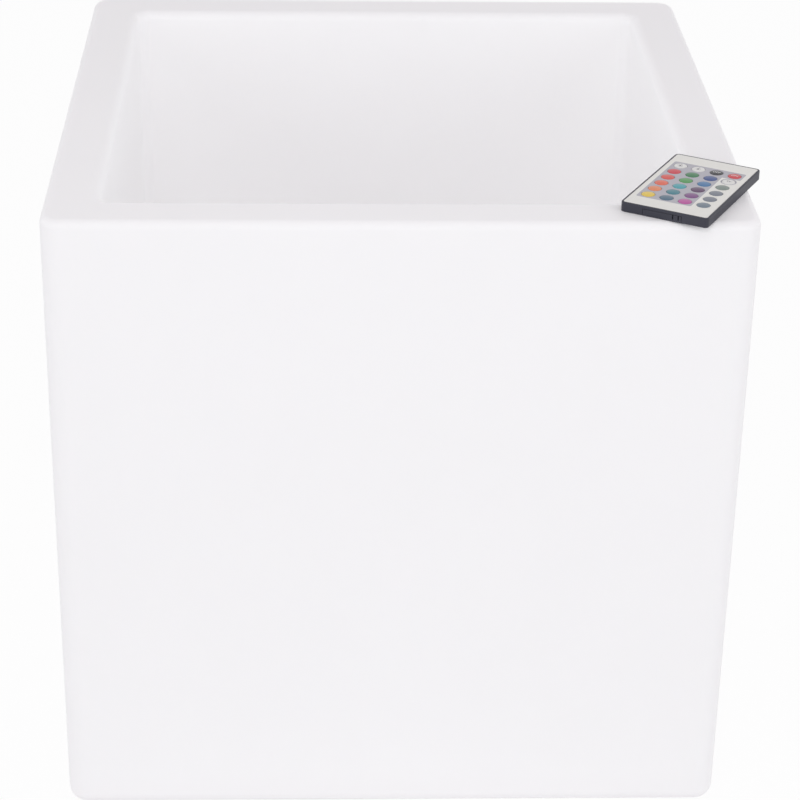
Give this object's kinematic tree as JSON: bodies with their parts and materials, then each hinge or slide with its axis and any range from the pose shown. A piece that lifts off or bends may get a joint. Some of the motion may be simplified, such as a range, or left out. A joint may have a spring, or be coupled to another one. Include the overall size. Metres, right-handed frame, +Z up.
{
  "type": "light-up cube table",
  "caption": "White milky cube table that lights up from inside, with an open basin in its top, a round light module in its underside and a slim colour remote on its rim.",
  "frame": {"origin": "on the floor, under the middle of the cube", "axes": "+Z up, front face towards -Y, +X to the right seen from the front"},
  "size_m": [0.4073, 0.4064, 0.4012],
  "materials": {
    "polyethylene_white": "milky, lets light through, fine orange-peel moulding",
    "rubber_grey": "matt",
    "housing_white": "fine grain",
    "lens_frosted": "frosted",
    "brass": "plain",
    "steel_screw": "zinc plated",
    "spring_steel": "bright",
    "lamp_board_white": "white lacquer on metal core",
    "board_green": "lacquered",
    "board_brown": "bare laminate",
    "lamp_chip": "clear resin",
    "black_part": "fine grain",
    "cell_wrap": "shrink sleeve",
    "lead_red": "smooth",
    "lead_white": "smooth",
    "status_green": "clear tinted",
    "remote_black": "fine grain",
    "film_pale": "satin print",
    "infrared_clear": "clear resin",
    "coin_steel": "spun",
    "key_brighter": "satin embossed film",
    "key_dimmer": "satin embossed film",
    "key_off": "satin embossed film",
    "key_on": "satin embossed film",
    "key_red": "satin embossed film",
    "key_green": "satin embossed film",
    "key_blue": "satin embossed film",
    "key_white": "satin embossed film",
    "key_scarlet": "satin embossed film",
    "key_light_green": "satin embossed film",
    "key_mid_blue": "satin embossed film",
    "key_flash": "satin embossed film",
    "key_coral": "satin embossed film",
    "key_cyan": "satin embossed film",
    "key_dark_purple": "satin embossed film",
    "key_strobe": "satin embossed film",
    "key_orange": "satin embossed film",
    "key_teal": "satin embossed film",
    "key_purple": "satin embossed film",
    "key_fade": "satin embossed film",
    "key_yellow": "satin embossed film",
    "key_slate_blue": "satin embossed film",
    "key_magenta": "satin embossed film",
    "key_smooth": "satin embossed film"
  },
  "bodies": {
    "table": {"shell": "polyethylene_white", "shell_inserts": "brass", "rubber_feet": "rubber_grey", "module_base": "housing_white", "module_gasket": "rubber_grey", "module_screws": "steel_screw", "module_lens": "lens_frosted", "led_board": "lamp_board_white", "leds": "lamp_chip", "board_components": "black_part", "ir_receiver": "black_part", "board_screws": "steel_screw", "control_board": "board_green", "power_switch": "black_part", "charge_socket": "black_part", "status_light": "status_green", "lamp_leads": "lead_white", "battery_holder": "black_part", "battery_cells": "cell_wrap", "battery_contacts": "spring_steel", "battery_leads": "lead_red", "battery_cover": "housing_white", "battery_cover_screws": "steel_screw"},
    "remote": {"remote_case_back": "remote_black", "remote_case_front": "remote_black", "remote_overlay": "film_pale", "remote_board": "board_brown", "remote_domes": "spring_steel", "remote_components": "black_part", "remote_ir_led": "infrared_clear", "remote_contacts": "spring_steel"},
    "battery_tray": {"remote_battery_tray": "remote_black", "remote_coin_cell": "coin_steel"},
    "power_button": {"power_button": "rubber_grey"},
    "charge_bung": {"charge_bung": "rubber_grey"},
    "key_brighter": {"key_brighter": "key_brighter"},
    "key_dimmer": {"key_dimmer": "key_dimmer"},
    "key_off": {"key_off": "key_off"},
    "key_on": {"key_on": "key_on"},
    "key_red": {"key_red": "key_red"},
    "key_green": {"key_green": "key_green"},
    "key_blue": {"key_blue": "key_blue"},
    "key_white": {"key_white": "key_white"},
    "key_scarlet": {"key_scarlet": "key_scarlet"},
    "key_light_green": {"key_light_green": "key_light_green"},
    "key_mid_blue": {"key_mid_blue": "key_mid_blue"},
    "key_flash": {"key_flash": "key_flash"},
    "key_coral": {"key_coral": "key_coral"},
    "key_cyan": {"key_cyan": "key_cyan"},
    "key_dark_purple": {"key_dark_purple": "key_dark_purple"},
    "key_strobe": {"key_strobe": "key_strobe"},
    "key_orange": {"key_orange": "key_orange"},
    "key_teal": {"key_teal": "key_teal"},
    "key_purple": {"key_purple": "key_purple"},
    "key_fade": {"key_fade": "key_fade"},
    "key_yellow": {"key_yellow": "key_yellow"},
    "key_slate_blue": {"key_slate_blue": "key_slate_blue"},
    "key_magenta": {"key_magenta": "key_magenta"},
    "key_smooth": {"key_smooth": "key_smooth"}
  },
  "joints": [
    {"name": "remote_lift", "type": "slide", "parent": "table", "child": "remote", "axis": [0, 0, 1], "range_m": [0, 0.15]},
    {"name": "battery_tray_slide", "type": "slide", "parent": "remote", "child": "battery_tray", "axis": [-0.4848, -0.8746, 0], "range_m": [0, 0.03]},
    {"name": "power_press", "type": "slide", "parent": "table", "child": "power_button", "axis": [0, 0, 1], "range_m": [0, 0.0008], "stiffness_N_per_m": 1500},
    {"name": "charge_bung_pull", "type": "slide", "parent": "table", "child": "charge_bung", "axis": [0, 0, -1], "range_m": [0, 0.0082]},
    {"name": "key_brighter_press", "type": "slide", "parent": "remote", "child": "key_brighter", "axis": [0, 0, -1], "range_m": [0, 0.0003], "stiffness_N_per_m": 2000},
    {"name": "key_dimmer_press", "type": "slide", "parent": "remote", "child": "key_dimmer", "axis": [0, 0, -1], "range_m": [0, 0.0003], "stiffness_N_per_m": 2000},
    {"name": "key_off_press", "type": "slide", "parent": "remote", "child": "key_off", "axis": [0, 0, -1], "range_m": [0, 0.0003], "stiffness_N_per_m": 2000},
    {"name": "key_on_press", "type": "slide", "parent": "remote", "child": "key_on", "axis": [0, 0, -1], "range_m": [0, 0.0003], "stiffness_N_per_m": 2000},
    {"name": "key_red_press", "type": "slide", "parent": "remote", "child": "key_red", "axis": [0, 0, -1], "range_m": [0, 0.0003], "stiffness_N_per_m": 2000},
    {"name": "key_green_press", "type": "slide", "parent": "remote", "child": "key_green", "axis": [0, 0, -1], "range_m": [0, 0.0003], "stiffness_N_per_m": 2000},
    {"name": "key_blue_press", "type": "slide", "parent": "remote", "child": "key_blue", "axis": [0, 0, -1], "range_m": [0, 0.0003], "stiffness_N_per_m": 2000},
    {"name": "key_white_press", "type": "slide", "parent": "remote", "child": "key_white", "axis": [0, 0, -1], "range_m": [0, 0.0003], "stiffness_N_per_m": 2000},
    {"name": "key_scarlet_press", "type": "slide", "parent": "remote", "child": "key_scarlet", "axis": [0, 0, -1], "range_m": [0, 0.0003], "stiffness_N_per_m": 2000},
    {"name": "key_light_green_press", "type": "slide", "parent": "remote", "child": "key_light_green", "axis": [0, 0, -1], "range_m": [0, 0.0003], "stiffness_N_per_m": 2000},
    {"name": "key_mid_blue_press", "type": "slide", "parent": "remote", "child": "key_mid_blue", "axis": [0, 0, -1], "range_m": [0, 0.0003], "stiffness_N_per_m": 2000},
    {"name": "key_flash_press", "type": "slide", "parent": "remote", "child": "key_flash", "axis": [0, 0, -1], "range_m": [0, 0.0003], "stiffness_N_per_m": 2000},
    {"name": "key_coral_press", "type": "slide", "parent": "remote", "child": "key_coral", "axis": [0, 0, -1], "range_m": [0, 0.0003], "stiffness_N_per_m": 2000},
    {"name": "key_cyan_press", "type": "slide", "parent": "remote", "child": "key_cyan", "axis": [0, 0, -1], "range_m": [0, 0.0003], "stiffness_N_per_m": 2000},
    {"name": "key_dark_purple_press", "type": "slide", "parent": "remote", "child": "key_dark_purple", "axis": [0, 0, -1], "range_m": [0, 0.0003], "stiffness_N_per_m": 2000},
    {"name": "key_strobe_press", "type": "slide", "parent": "remote", "child": "key_strobe", "axis": [0, 0, -1], "range_m": [0, 0.0003], "stiffness_N_per_m": 2000},
    {"name": "key_orange_press", "type": "slide", "parent": "remote", "child": "key_orange", "axis": [0, 0, -1], "range_m": [0, 0.0003], "stiffness_N_per_m": 2000},
    {"name": "key_teal_press", "type": "slide", "parent": "remote", "child": "key_teal", "axis": [0, 0, -1], "range_m": [0, 0.0003], "stiffness_N_per_m": 2000},
    {"name": "key_purple_press", "type": "slide", "parent": "remote", "child": "key_purple", "axis": [0, 0, -1], "range_m": [0, 0.0003], "stiffness_N_per_m": 2000},
    {"name": "key_fade_press", "type": "slide", "parent": "remote", "child": "key_fade", "axis": [0, 0, -1], "range_m": [0, 0.0003], "stiffness_N_per_m": 2000},
    {"name": "key_yellow_press", "type": "slide", "parent": "remote", "child": "key_yellow", "axis": [0, 0, -1], "range_m": [0, 0.0003], "stiffness_N_per_m": 2000},
    {"name": "key_slate_blue_press", "type": "slide", "parent": "remote", "child": "key_slate_blue", "axis": [0, 0, -1], "range_m": [0, 0.0003], "stiffness_N_per_m": 2000},
    {"name": "key_magenta_press", "type": "slide", "parent": "remote", "child": "key_magenta", "axis": [0, 0, -1], "range_m": [0, 0.0003], "stiffness_N_per_m": 2000},
    {"name": "key_smooth_press", "type": "slide", "parent": "remote", "child": "key_smooth", "axis": [0, 0, -1], "range_m": [0, 0.0003], "stiffness_N_per_m": 2000}
  ]
}
